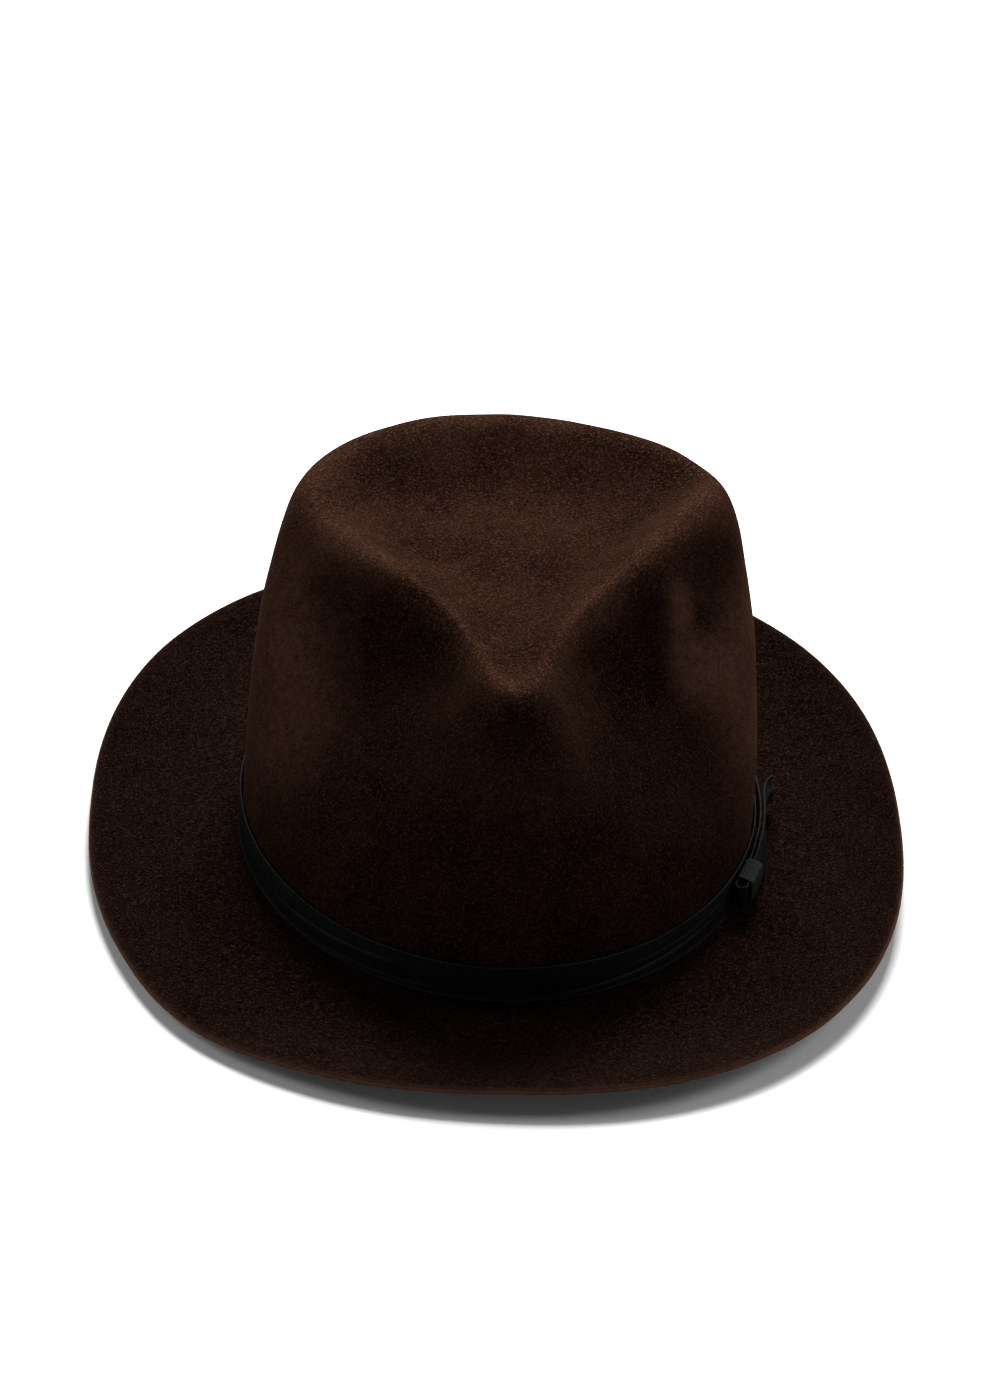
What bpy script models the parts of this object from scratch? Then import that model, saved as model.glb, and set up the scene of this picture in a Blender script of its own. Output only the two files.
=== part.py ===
"""Fedora hat: one blocked felt shape with its band, bow, sweatband and lining.

Metres, +Z up. The front of the hat faces -Y and the bow is on the +X side. The origin is on the
surface that the brim rests on, below the middle of the brim. Angles around the hat start at the
front and run towards +X, so the bow is near 80 degrees and the back of the hat is at 180 degrees.
"""
import bmesh
import bpy
import numpy as np

MM = 0.001

# Felt
FELT = 2.0 * MM
GAP = 0.3 * MM
COLUMNS = 60                                  # steps around the hat
BRIM_ROWS = (0, 4, 10, 17, 25, 34.5, 38, 41.5, 46.5)      # mm in from the edge, on a 51 mm brim
BRIM_RUN = 51.0
BRIM_FLAT_ROW = 5                             # from this row inwards the brim lies flat
WALL_HEIGHTS = (2.4, 4, 7, 12, 18, 27, 38)    # mm above the rest surface, up to where the dents start
WALL_STEPS = 9                                # rows from there to the ridge
WELL_STEPS = 8                                # rows from the ridge to the middle of the top

# Brim, as an oval: half width, front and back reach, and how square the oval is
BRIM_OVAL = (139.5 * MM, -158.5 * MM, 159.2 * MM, 2.35)
BRIM_RISE = np.array([6.5, 5.7, 7.9, 11.0, 13.0]) * MM    # lift of the edge, front to back
BRIM_TILT = 2.5 * MM                          # extra lift of the edge on the bow side
BRIM_FLAT = 0.40                              # inner share of the brim that lies flat
MIDDLE = np.array([0.19, 0.57, 0.0]) * MM    # middle of the finished brim, which becomes the origin

# Crown: the oval at its base, and the ridge round its top, from front to back
BASE_OVAL = (87.7 * MM, -104.5 * MM, 104.5 * MM, 2.0)
RIDGE_HALF = np.array([24.0, 25.5, 64.0, 80.0, 84.0]) * MM
RIDGE_Y = np.array([-74.0, -38.5, 19.0, 64.0, 87.0]) * MM
RIDGE_Z = np.array([104.5, 107.0, 113.0, 114.5, 116.0]) * MM
FULLNESS = np.array([1.7, 1.8, 2.6, 3.0, 3.0])            # 1 is a straight slope, 3 a square shoulder
PINCH = np.array([0.25, 0.95, 0.15, 0.0, 0.0])            # how far the wall is hollowed below the ridge
RIDGE_SOFT = np.array([0.8, 0.8, 3.0, 6.0, 6.0]) * MM
BREAK_SOFT = 2.5 * MM                         # softness of the corner between brim and crown
GROOVE = np.array([0.0, 2.0, 4.0, 4.5, 4.5]) * MM         # moat round the middle of the top
WELL = np.array([0.0, 22.0, 100.0]) * MM       # lowest middle of the top

# Dents and bulges pressed by hand, in mm: middle, radius, push
CROWN_DENTS = (
    ((64, 22, 112), 26, (-3.4, 4.4, 7.2)),
    ((50, 70, 112), 24, (3.3, 1.1, 2.6)),
    ((0, 88, 114), 30, (0.0, 0.0, 1.0)),
    ((-46, 60, 112), 26, (0.0, 1.8, 3.2)),
    ((-62, 15, 112), 22, (5.1, -1.1, -1.9)),
    ((80, -5, 60), 34, (2.0, 0.0, 0.0)),
    ((0, 26, 96), 22, (0.0, 0.0, 2.0)),
)
BRIM_DENTS = (
    ((-100, -125, 5), 24, (-2.2, -1.0, -0.5)),
)

# Ribbon round the crown, and the bow made of the same ribbon
RIBBON = 0.7 * MM
BAND_Z = (4.0 * MM, 17.0 * MM)
BAND_JOIN = np.radians(80.0)
SLIT = 0.006                                  # angle between the two ends of a band
BOW_Z = (4.8 * MM, 16.6 * MM)
KNOT_ANGLE = np.radians(67.2)
KNOT_WIDTH = 11.0 * MM
KNOT_SWELL = 3.2 * MM                         # how far the knot's face stands off the ribbon in it
KNOT_Z = (6.6 * MM, 15.1 * MM)                # the ribbon's edges where the knot gathers it
BOW_REACH = 95.0 * MM                         # the bow's distance from the middle of the hat
LOOP_FRONT = np.radians(62.8)
FOLD_SWELL = 2.6 * MM                         # how far the loop's outer leg opens at its front
TAIL_END = np.radians(99.0)
NOTCH = np.radians(3.5)                       # depth of the V cut in each tail
TAIL_SPLAY = 5.0 * MM

# Inside
SWEATBAND = 1.1 * MM
SWEATBAND_Z = (2.6 * MM, 36.0 * MM)
SWEATBAND_IN = 3.5 * MM                       # its outer face, in from the felt's outer face
REED_RADIUS = 0.7 * MM
TAPE = 0.4 * MM
LINING = 0.4 * MM
LINING_Z = (27.0 * MM, 80.0 * MM)
LINING_STRAIGHT = 38 * MM                     # up to here it lies between felt and sweatband
THREAD_RADIUS = 0.25 * MM


def around(angle, values):
    """Even value round the hat that passes through `values` at equal steps from front to back."""
    order = np.arange(len(values))
    steps = order * np.pi / (len(values) - 1)
    parts = np.linalg.solve(np.cos(np.outer(steps, order)), values)
    return float(np.cos(order * angle) @ parts)


def oval(angle, half, front, back, square):
    """Point on a superellipse, at a height of zero."""
    side, ahead = np.sin(angle), np.cos(angle)
    reach = (abs(side) ** square + abs(ahead) ** square) ** (-1 / square)
    return np.array([half * side * reach, (front + back) / 2 - (back - front) / 2 * ahead * reach, 0])


def lengths(line):
    return np.concatenate([[0], np.cumsum(np.linalg.norm(np.diff(line, axis=0), axis=1))])


def along(line, run, places):
    return np.stack([np.interp(places, run, line[:, axis]) for axis in range(3)], axis=1)


def soften(line, run, radius):
    """Rounds a line's corners with a moving average as wide as `radius` at each point."""
    away = (run[:, None] - run[None, :]) / radius[:, None]
    weight = np.where(abs(away) < 3, np.exp(-away ** 2 / 2), 0)
    averaged = weight @ line / weight.sum(axis=1, keepdims=True)
    to_end = np.minimum(run, run[-1] - run)
    share = np.clip(to_end / (3 * radius), 0, 1)[:, None]
    return averaged * share + line * (1 - share)


def section(angle):
    """Outer face of the felt at one angle: fine points from the brim's edge to the top's middle.

    Also gives the distance along the line at the break and at the ridge.
    """
    edge, base = oval(angle, *BRIM_OVAL), oval(angle, *BASE_OVAL)
    share = np.linspace(0, 1, 60)[:, None]
    brim = edge * (1 - share) + base * share
    lift = around(angle, BRIM_RISE) + BRIM_TILT * np.sin(angle)
    curl = np.clip((1 - share[:, 0] - BRIM_FLAT) / (1 - BRIM_FLAT), 0, 1)
    brim[:, 2] = FELT + lift * curl ** 1.5

    ridge = np.array([around(angle, RIDGE_HALF) * np.sin(angle), around(angle, RIDGE_Y),
                      around(angle, RIDGE_Z)])
    power = 2 / around(angle, FULLNESS)
    turn = np.linspace(0, np.pi / 2, 160)[1:, None]
    upward = np.sin(turn) ** power
    round_in = 1 - np.cos(turn) ** power
    hollow_in = 3 * upward ** 2.8 - 2 * upward ** 4.2
    inward = round_in + (hollow_in - round_in) * around(angle, PINCH)
    foot = base + [0, 0, FELT]
    wall = foot + (ridge - foot) * np.hstack([inward, inward, upward])

    share = np.linspace(0, 1, 140)[1:, None]
    well = ridge + (WELL - ridge) * share
    fall = 1 - (1 - share[:, 0]) ** 2
    moat = np.sin(np.pi * np.clip(share[:, 0] / 0.9, 0, 1)) ** 2
    well[:, 2] = ridge[2] + (WELL[2] - ridge[2]) * fall - around(angle, GROOVE) * moat

    line = np.concatenate([brim, wall, well])
    run = lengths(line)
    at_break, at_ridge = run[len(brim) - 1], run[len(brim) + len(wall) - 1]
    fine = np.linspace(0, run[-1], int(run[-1] / MM) + 1)
    line = along(line, run, fine)
    radius = MM + (BREAK_SOFT - MM) * np.exp(-((fine - at_break) / (12 * MM)) ** 2)
    radius += around(angle, RIDGE_SOFT) * np.exp(-((fine - at_ridge) / (25 * MM)) ** 2)
    return soften(line, fine, radius), fine, at_break, at_ridge


def column(angle):
    """The section's points that make one column of the felt's faces."""
    line, run, at_break, at_ridge = section(angle)
    brim = along(line, run, np.array(BRIM_ROWS) / BRIM_RUN * at_break)
    rising = (run > at_break - 4 * MM) & (run < at_ridge)
    by_height = np.interp(np.array(WALL_HEIGHTS) * MM, line[rising, 2], run[rising])
    wall = along(line, run, by_height)
    upper = along(line, run, np.linspace(by_height[-1], at_ridge, WALL_STEPS + 1)[1:])
    well = along(line, run, np.linspace(at_ridge, run[-1], WELL_STEPS + 1)[1:])
    return np.concatenate([brim, wall, upper, well])


def press(points, dents):
    """Moves points by the dents, which fade out smoothly from their middles."""
    moved = points.copy()
    for middle, radius, push in dents:
        away = np.linalg.norm(points - np.array(middle) * MM, axis=-1) / (radius * MM)
        moved += np.exp(-away ** 2 / 2)[..., None] * np.array(push) * MM
    return moved


def felt_grid():
    grid = np.array([column(angle) for angle in np.linspace(0, 2 * np.pi, COLUMNS, endpoint=False)])
    crown = len(BRIM_ROWS) + 2
    grid[:, crown:] = press(grid[:, crown:], CROWN_DENTS)
    grid[:, :BRIM_FLAT_ROW] = press(grid[:, :BRIM_FLAT_ROW], BRIM_DENTS)
    grid[:, -1] = grid[:, -1].mean(axis=0)
    return grid - MIDDLE


GRID = felt_grid()


def outward(angle):
    """Level direction square to the crown's base oval."""
    before, after = oval(angle - 0.01, *BASE_OVAL), oval(angle + 0.01, *BASE_OVAL)
    step = after - before
    return np.array([step[1], -step[0], 0]) / np.linalg.norm(step)


def wall_point(angle, height, out):
    """Point at a height on the crown's outer faces, moved out (or in, if negative) by `out`."""
    place = (angle / (2 * np.pi)) % 1 * COLUMNS
    first = int(place) % COLUMNS
    share = place - int(place)
    low = len(BRIM_ROWS)
    high = low + len(WALL_HEIGHTS) + WALL_STEPS
    ends = []
    for number in (first, (first + 1) % COLUMNS):
        wall = GRID[number, low:high]
        ends.append([np.interp(height, wall[:, 2], wall[:, axis]) for axis in range(2)])
    across = np.array(ends[0]) * (1 - share) + np.array(ends[1]) * share
    return np.array([*across, height]) + outward(angle) * out


def material(name, colour, roughness):
    shade = bpy.data.materials.new(name)
    shade.use_nodes = True
    surface = shade.node_tree.nodes["Principled BSDF"]
    surface.inputs["Base Color"].default_value = (*colour, 1)
    surface.inputs["Roughness"].default_value = roughness
    surface.inputs["Metallic"].default_value = 0
    return shade


def add_object(name, data, colour, roughness):
    piece = bpy.data.objects.new(name, data)
    data.materials.append(material(name, colour, roughness))
    HAT.objects.link(piece)
    return piece


def sheet(name, grid, thick, colour, roughness, closed=False, pole=False, out=True):
    """Solid sheet over a grid of points: grid[i][j] steps round the hat with i and upward with j.

    `closed` joins the last column to the first and `pole` gathers the last row in one point. The
    sheet's thickness is added outward, or inward when `out` is False.
    """
    grid = np.asarray(grid)
    columns, rows = grid.shape[:2]
    build = bmesh.new()
    full_rows = rows - 1 if pole else rows
    corners = [[build.verts.new(grid[i, j]) for j in range(full_rows)] for i in range(columns)]
    tip = build.verts.new(grid[0, -1]) if pole else None
    for i in range(columns if closed else columns - 1):
        here, following = corners[i], corners[(i + 1) % columns]
        for j in range(full_rows - 1):
            build.faces.new((here[j], following[j], following[j + 1], here[j + 1]))
        if pole:
            build.faces.new((here[-1], following[-1], tip))
    mesh = bpy.data.meshes.new(name)
    build.to_mesh(mesh)
    build.free()
    mesh.shade_smooth()
    piece = add_object(name, mesh, colour, roughness)
    shell = piece.modifiers.new("Thickness", "SOLIDIFY")
    shell.thickness = thick
    shell.offset = 1 if out else -1
    return piece


def thread(name, points, radius, colour, roughness, cyclic=False, sides=2):
    """Round cord through a list of points."""
    curve = bpy.data.curves.new(name, "CURVE")
    curve.dimensions = "3D"
    curve.bevel_depth = radius
    curve.bevel_resolution = sides
    curve.use_fill_caps = not cyclic
    line = curve.splines.new("POLY")
    line.points.add(len(points) - 1)
    for corner, point in zip(line.points, points):
        corner.co = (*point, 1)
    line.use_cyclic_u = cyclic
    return add_object(name, curve, colour, roughness)


FELT_BROWN = (0.030, 0.014, 0.009)
RIBBON_BLACK = (0.008, 0.010, 0.010)
LEATHER_BROWN = (0.10, 0.042, 0.018)
SATIN_BROWN = (0.085, 0.045, 0.026)
TAPE_CREAM = (0.42, 0.36, 0.27)
ROUND = np.linspace(0, 2 * np.pi, COLUMNS, endpoint=False)


def felt_body():
    sheet("felt_body", GRID, FELT, FELT_BROWN, 0.95, closed=True, pole=True, out=False)


def open_ring(middle):
    """Angles once round the hat, starting and ending half a slit away from `middle`."""
    first, last = middle + SLIT / 2, middle + 2 * np.pi - SLIT / 2
    turns = np.concatenate([ROUND, ROUND + 2 * np.pi])
    between = turns[(turns > first + 0.01) & (turns < last - 0.01)]
    return [first, *between, last]


def ring_sheet(angles, heights, out):
    return [[wall_point(angle, height, out) for height in heights] for angle in angles]


def hatband():
    heights = (BAND_Z[0], 7 * MM, 12 * MM, BAND_Z[1])
    sheet("hatband", ring_sheet(open_ring(BAND_JOIN), heights, GAP), RIBBON, RIBBON_BLACK, 0.6)


BAND_FACE = GAP + RIBBON                      # outer face of the band, from the felt
KNOT_BACK = BAND_FACE + GAP
TAIL_INNER = KNOT_BACK + RIBBON + GAP
TAIL_OUTER = TAIL_INNER + RIBBON + GAP
KNOT_FRONT = TAIL_OUTER + RIBBON + GAP


def bow_point(angle, height, out):
    """Point of the bow, which stands upright whatever way the crown's wall leans."""
    level = wall_point(angle, 8 * MM, out)
    return np.array([level[0], level[1], height])


def gathered(angle, height):
    """Height of a spot on the bow's ribbon once the knot has drawn its edges together."""
    share = (height - BOW_Z[0]) / (BOW_Z[1] - BOW_Z[0])
    drawn = KNOT_Z[0] + (KNOT_Z[1] - KNOT_Z[0]) * share
    past = max(angle - KNOT_ANGLE - np.radians(4), 0) / np.radians(5)
    return height + (drawn - height) * np.exp(-past ** 2)


def bow_ribbon():
    """One ribbon: from the outer tail forward through the knot, round the front loop and back."""
    heights = np.linspace(*BOW_Z, 5)
    middle, half = np.mean(BOW_Z), (BOW_Z[1] - BOW_Z[0]) / 2
    fold = (TAIL_OUTER + FOLD_SWELL - TAIL_INNER) / 2

    def tail(out, splay):
        columns = []
        for share in np.linspace(1, 0, 9):
            lift = splay * share ** 3
            spots = []
            for height in heights:
                end = TAIL_END + NOTCH * abs(height - middle) / half - NOTCH
                angle = KNOT_ANGLE + (end - KNOT_ANGLE) * share
                spots.append(bow_point(angle, gathered(angle, height), out + lift))
            columns.append(spots)
        return columns

    def leg(out, swell):
        columns = []
        for share in np.linspace(0, 1, 7)[1:]:
            angle = KNOT_ANGLE + (LOOP_FRONT - KNOT_ANGLE) * share
            columns.append([bow_point(angle, gathered(angle, height), out + swell * share)
                            for height in heights])
        return columns

    def turn():
        """Half circle that joins the loop's two legs at its front."""
        columns = []
        for step in (0.25, 0.5, 0.75):
            ahead = np.sin(np.pi * step) * fold / BOW_REACH
            out = TAIL_INNER + fold * (1 + np.cos(np.pi * step))
            columns.append([bow_point(LOOP_FRONT - ahead, gathered(LOOP_FRONT, height), out)
                            for height in heights])
        return columns

    path = tail(TAIL_OUTER, TAIL_SPLAY) + leg(TAIL_OUTER, FOLD_SWELL) + turn()
    path += leg(TAIL_INNER, 0)[::-1] + tail(TAIL_INNER, 0)[::-1]
    sheet("bow_ribbon", path, RIBBON * 0.7, RIBBON_BLACK, 0.6, out=False)


def bow_knot():
    """Ribbon wrapped once round the middle of the bow, with its ends tucked behind."""
    low, high = KNOT_Z[0] - GAP * 2, KNOT_Z[1] + GAP * 2
    half = KNOT_WIDTH / 2 / BOW_REACH
    profile = [(KNOT_BACK, low), (KNOT_BACK, (low + high) / 2), (KNOT_BACK, high),
               (TAIL_OUTER, high + 0.5 * MM), (KNOT_FRONT + KNOT_SWELL * 0.7, high),
               (KNOT_FRONT + KNOT_SWELL, (low + high) / 2), (KNOT_FRONT + KNOT_SWELL * 0.7, low),
               (TAIL_OUTER, low - 0.4 * MM)]
    columns = [[bow_point(angle, height, out) for angle in
                np.linspace(KNOT_ANGLE - half, KNOT_ANGLE + half, 4)] for out, height in profile]
    sheet("bow_knot", columns, RIBBON * 0.5, RIBBON_BLACK, 0.6, closed=True, out=False)


def tack(name, point, angle, height, out):
    """Short upright stitch."""
    ends = [point(angle, height + step * MM, out) for step in (-1.2, 0, 1.2)]
    thread(name, ends, THREAD_RADIUS, RIBBON_BLACK, 0.7)


def tacks():
    for number, degrees in enumerate((0, 150, 210, 300), start=1):
        tack(f"hatband_tack_{number}", wall_point, np.radians(degrees), BAND_Z[1] - 2.5 * MM,
             BAND_FACE + GAP + THREAD_RADIUS)
    tack("bow_tack", bow_point, np.radians(91), BOW_Z[1] - 3 * MM, TAIL_INNER + GAP + THREAD_RADIUS)


def inner_point(angle, height, inset):
    """Point inside the crown, straight below the wall where the felt turns out into the brim."""
    level = wall_point(angle, max(height, WALL_HEIGHTS[2] * MM), -inset)
    return np.array([level[0], level[1], height])


def inner_sheet(angles, heights, inset):
    return [[inner_point(angle, height, inset) for height in heights] for angle in angles]


def sweatband():
    heights = (SWEATBAND_Z[0], 7 * MM, 15 * MM, 25 * MM, SWEATBAND_Z[1])
    grid = inner_sheet(open_ring(np.pi), heights, SWEATBAND_IN)
    sheet("sweatband", grid, SWEATBAND, LEATHER_BROWN, 0.45, out=False)


BEHIND_SWEATBAND = SWEATBAND_IN - GAP         # inner face of what lies between sweatband and felt


def sweatband_trim():
    reed = [inner_point(angle, 1.4 * MM, SWEATBAND_IN + SWEATBAND / 2) for angle in ROUND]
    thread("sweatband_reed", reed, REED_RADIUS, TAPE_CREAM, 0.5, cyclic=True)
    sheet("reed_tape", inner_sheet(ROUND, (2.6 * MM, 8.5 * MM), BEHIND_SWEATBAND), TAPE,
          TAPE_CREAM, 0.9, closed=True)
    back = np.radians(np.linspace(177, 183, 3))
    sheet("sweatband_seam_tape", inner_sheet(back, (10 * MM, 18 * MM, 26 * MM), BEHIND_SWEATBAND),
          TAPE, TAPE_CREAM, 0.9)
    label = np.radians(np.linspace(205, 215, 4))
    sheet("size_tag", inner_sheet(label, (11 * MM, 20 * MM), BEHIND_SWEATBAND), TAPE, TAPE_CREAM, 0.8)
    inner = SWEATBAND_IN + SWEATBAND + GAP
    seam = [inner_point(angle, 4.6 * MM, inner + THREAD_RADIUS) for angle in ROUND]
    thread("sweatband_stitching", seam, THREAD_RADIUS, LEATHER_BROWN, 0.8, cyclic=True, sides=1)


def rear_bow():
    """Flat little bow that marks the back of the sweatband."""
    inset = SWEATBAND_IN + SWEATBAND + 3 * GAP + 2 * THREAD_RADIUS
    columns = []
    for step in np.linspace(-1, 1, 9):
        half = (1.1 + 2.4 * np.sin(np.pi * abs(step)) ** 0.8) * MM
        angle = np.pi + step * np.radians(5)
        columns.append([inner_point(angle, 8 * MM + side * half, inset) for side in (-1, 0, 1)])
    sheet("sweatband_rear_bow", columns, 0.6 * MM, LEATHER_BROWN, 0.5, out=False)


def lining_inset(height):
    """Room between the felt's outer face and the lining: wider where the crown slopes in."""
    share = max(height - LINING_STRAIGHT, 0) / (LINING_Z[1] - LINING_STRAIGHT)
    return 2.7 * MM + 4.5 * MM * share ** 1.2


def lining():
    heights = (LINING_Z[0], LINING_STRAIGHT, *np.linspace(LINING_STRAIGHT, LINING_Z[1], 4)[1:])
    grid = [[inner_point(angle, height, lining_inset(height)) for height in heights] for angle in ROUND]
    sheet("lining_wall", grid, LINING, SATIN_BROWN, 0.35, closed=True, out=False)
    top = LINING_Z[1] + 2 * GAP
    rim = np.array([inner_point(angle, top, lining_inset(LINING_Z[1])) for angle in ROUND])
    middle = np.array([0, 10 * MM, top + 2 * MM])
    tip = np.stack([rim + (middle - rim) * share for share in (0, 0.35, 0.7, 1)], axis=1)
    tip[:, :, 2] = top + np.array([0, 1.4, 1.9, 2.0]) * MM
    sheet("lining_tip", tip, LINING, SATIN_BROWN, 0.35, closed=True, pole=True)


for old in list(bpy.data.objects):
    bpy.data.objects.remove(old)
HAT = bpy.data.collections.new("fedora_hat")
bpy.context.scene.collection.children.link(HAT)

felt_body()
hatband()
bow_ribbon()
bow_knot()
tacks()
sweatband()
sweatband_trim()
rear_bow()
lining()
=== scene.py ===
"""Looks of the fedora hat: fine felt, ribbon, bow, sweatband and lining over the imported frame.

Metres, +Z up, front of the hat towards -Y, bow on the +X side. Angles around the hat start at the
front and run towards +X. The felt's shape repeats part.py's formulas in finer steps.
"""
import bmesh
import bpy
import numpy as np
from mathutils import Matrix, Vector, noise


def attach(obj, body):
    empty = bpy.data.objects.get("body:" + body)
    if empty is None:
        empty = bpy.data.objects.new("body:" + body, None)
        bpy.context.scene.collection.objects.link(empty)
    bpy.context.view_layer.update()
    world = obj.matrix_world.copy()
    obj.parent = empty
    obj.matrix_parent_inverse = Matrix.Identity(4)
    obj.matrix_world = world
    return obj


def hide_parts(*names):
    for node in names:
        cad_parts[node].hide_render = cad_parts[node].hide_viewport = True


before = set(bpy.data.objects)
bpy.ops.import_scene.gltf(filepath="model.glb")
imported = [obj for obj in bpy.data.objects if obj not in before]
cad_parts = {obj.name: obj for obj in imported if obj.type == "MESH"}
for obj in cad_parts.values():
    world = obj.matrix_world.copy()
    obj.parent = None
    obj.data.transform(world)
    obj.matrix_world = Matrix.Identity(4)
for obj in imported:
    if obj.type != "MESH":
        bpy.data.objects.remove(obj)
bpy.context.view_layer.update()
MM = 0.001

# ---------------------------------------------------------------- sizes, as in the CAD model
FELT = 2.0 * MM
GAP = 0.3 * MM
BRIM_OVAL = (139.5 * MM, -158.5 * MM, 159.2 * MM, 2.35)
BRIM_RISE = np.array([6.5, 5.7, 7.9, 11.0, 13.0]) * MM
BRIM_TILT = 2.5 * MM
BRIM_FLAT = 0.40
MIDDLE = np.array([0.19, 0.57, 0.0]) * MM
BASE_OVAL = (87.7 * MM, -104.5 * MM, 104.5 * MM, 2.0)
RIDGE_HALF = np.array([24.0, 25.5, 64.0, 80.0, 84.0]) * MM
RIDGE_Y = np.array([-74.0, -38.5, 19.0, 64.0, 87.0]) * MM
RIDGE_Z = np.array([104.5, 107.0, 113.0, 114.5, 116.0]) * MM
FULLNESS = np.array([1.7, 1.8, 2.6, 3.0, 3.0])
PINCH = np.array([0.25, 0.95, 0.15, 0.0, 0.0])
RIDGE_SOFT = np.array([0.8, 0.8, 3.0, 6.0, 6.0]) * MM
BREAK_SOFT = 2.5 * MM
GROOVE = np.array([0.0, 2.0, 4.0, 4.5, 4.5]) * MM
WELL = np.array([0.0, 22.0, 100.0]) * MM
# Dents in mm: middle, radius, push. The pushes of the first five were found by fitting.
CROWN_DENTS = (
    ((64, 22, 112), 26, (-3.4, 4.4, 7.2)),
    ((50, 70, 112), 24, (3.3, 1.1, 2.6)),
    ((0, 88, 114), 30, (0.0, 0.0, 1.0)),
    ((-46, 60, 112), 26, (0.0, 1.8, 3.2)),
    ((-62, 15, 112), 22, (5.1, -1.1, -1.9)),
    ((80, -5, 60), 34, (2.0, 0.0, 0.0)),
    ((0, 26, 96), 22, (0.0, 0.0, 2.0)),
)
# Smaller hollows and ridges than the CAD model holds, in the same form.
HAND_MARKS = (
    ((56, -13, 97), 6, (1.0, -1.9, 1.3)),
    ((60, -23, 82), 7, (0.8, -1.6, 0.5)),
    ((69, -2, 103), 7, (-1.7, 1.9, -1.8)),
    ((71, -8, 90), 6, (-1.0, 1.0, -0.3)),
    ((82, 12, 92), 10, (-1.0, 0.2, 0.0)),
    ((72, -14, 80), 9, (0.9, -0.8, 0.3)),
    ((-75, 10, 101), 9, (1.6, 0.9, -0.7)),
    ((-68, -14, 86), 8, (-0.9, -1.0, 0.4)),
    ((-38, 52, 107), 11, (0.0, 0.4, -1.5)),
    ((54, 50, 113), 12, (0.3, 0.6, -1.8)),
    ((26, 73, 113), 12, (0.0, 0.5, -1.3)),
    ((8, 53, 102), 14, (0.0, -0.3, 1.2)),
)
# Painted light and shade on the felt, in mm: middle and radius; then how much lighter the nap is
# painted there, a painted highlight where light catches ridges and sides, or darker below zero,
# painted shade in hollows and on faces turned from the light.
LIGHT_AND_SHADE_PATCHES = (
    ((55, -8, 103), 4, 0.5), ((57, -13, 97), 4, 0.9), ((59, -19, 88), 5, 0.8),
    ((61, -24, 80), 6, 0.6), ((71, -15, 79), 9, 0.9), ((66, -8, 92), 5, -0.4),
    ((80, 5, 92), 12, 0.6), ((82, -14, 58), 13, 0.5),
    ((-71, -11, 80), 14, 0.8), ((-68, -31, 61), 13, 0.55), ((-70, 9, 101), 11, 0.4),
    ((-81, -25, 43), 13, 0.25), ((0, -91, 75), 13, 0.15), ((8, 56, 102), 13, 0.12),
    ((5, 28, 102), 13, -0.12),
    ((-38, 55, 107), 9, -0.65), ((55, 53, 114), 11, -0.75), ((26, 76, 113), 10, -0.5),
    ((30, -23, 105), 8, 0.4), ((-53, -1, 108), 9, 0.3), ((-60, 48, 112), 12, 0.25),
    ((61, 18, 119), 12, 0.2), ((-28, 60, 106), 9, 0.25), ((0, -48, 102), 13, -0.25),
    ((43, -56, 64), 14, -0.5), ((40, -27, 90), 10, -0.3), ((-34, -34, 88), 12, -0.3),
    ((-3, 79, 113), 12, -0.15), ((82, 12, 104), 9, -0.4), ((-64, -2, 97), 8, -0.35),
)
BRIM_DENTS = (
    ((-100, -125, 5), 24, (-2.2, -1.0, -0.5)),
)
RIBBON = 0.7 * MM
BAND_Z = (4.0 * MM, 17.0 * MM)
BAND_JOIN = np.radians(80.0)
BOW_Z = (4.8 * MM, 16.6 * MM)
KNOT_ANGLE = np.radians(67.2)
KNOT_WIDTH = 11.0 * MM
KNOT_SWELL = 3.2 * MM
KNOT_Z = (6.6 * MM, 15.1 * MM)
FOLD_SWELL = 2.6 * MM
BOW_REACH = 95.0 * MM
LOOP_FRONT = np.radians(62.8)
TAIL_END = np.radians(99.0)
NOTCH = np.radians(3.5)
TAIL_SPLAY = 5.0 * MM
SWEATBAND = 1.1 * MM
SWEATBAND_Z = (2.6 * MM, 36.0 * MM)
SWEATBAND_IN = 3.5 * MM
LINING_Z = (27.0 * MM, 80.0 * MM)
LINING_STRAIGHT = 38 * MM
THREAD_RADIUS = 0.25 * MM

# ---------------------------------------------------------------- sizes of the visible pieces only
FOOT_LEVEL = 7 * MM                               # lowest height where the wall's outline is used
BOW_LEVEL = 8 * MM
RIM_ROUND = 0.45 * MM                             # how far the cut edge of the felt bulges
BAND_OFF = 0.30 * MM
BAND_THICK = 0.45 * MM
BOW_THICK = 0.40 * MM
KNOT_THICK = 0.35 * MM
BOW_LEAN = 3.0 * MM                               # how far the bow's lower edge stands off in front
# Width of the painted highlight along each ribbon edge.
SELVEDGE = 0.45 * MM
REAR_BOW_THICK = 0.55 * MM
REAR_BOW_Z = 8 * MM
SATIN_THICK = 0.25 * MM
GATHERS = 46
TAPE_THICK = 0.30 * MM
STITCHES = 200
STITCH_Z = 4.6 * MM
STITCH_STRETCH = 4.2
TACK_HALF = 1.2 * MM
STRAND_RADIUS = THREAD_RADIUS * 0.6
STRAND_OFF = THREAD_RADIUS * 0.45                 # from the middle of the twisted thread

# ---------------------------------------------------------------- fineness of the visible meshes
COLUMNS = 288
BRIM_STEPS = 44
WALL_STEPS = 74
WELL_STEPS = 44
SLIT = 0.006
TURN = 2 * np.pi


# ================================================================ shape of the felt
def around(angle, values):
    """Even value round the hat that passes through `values` at equal steps from front to back."""
    order = np.arange(len(values))
    steps = order * np.pi / (len(values) - 1)
    parts = np.linalg.solve(np.cos(np.outer(steps, order)), values)
    return float(np.cos(order * angle) @ parts)


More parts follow.
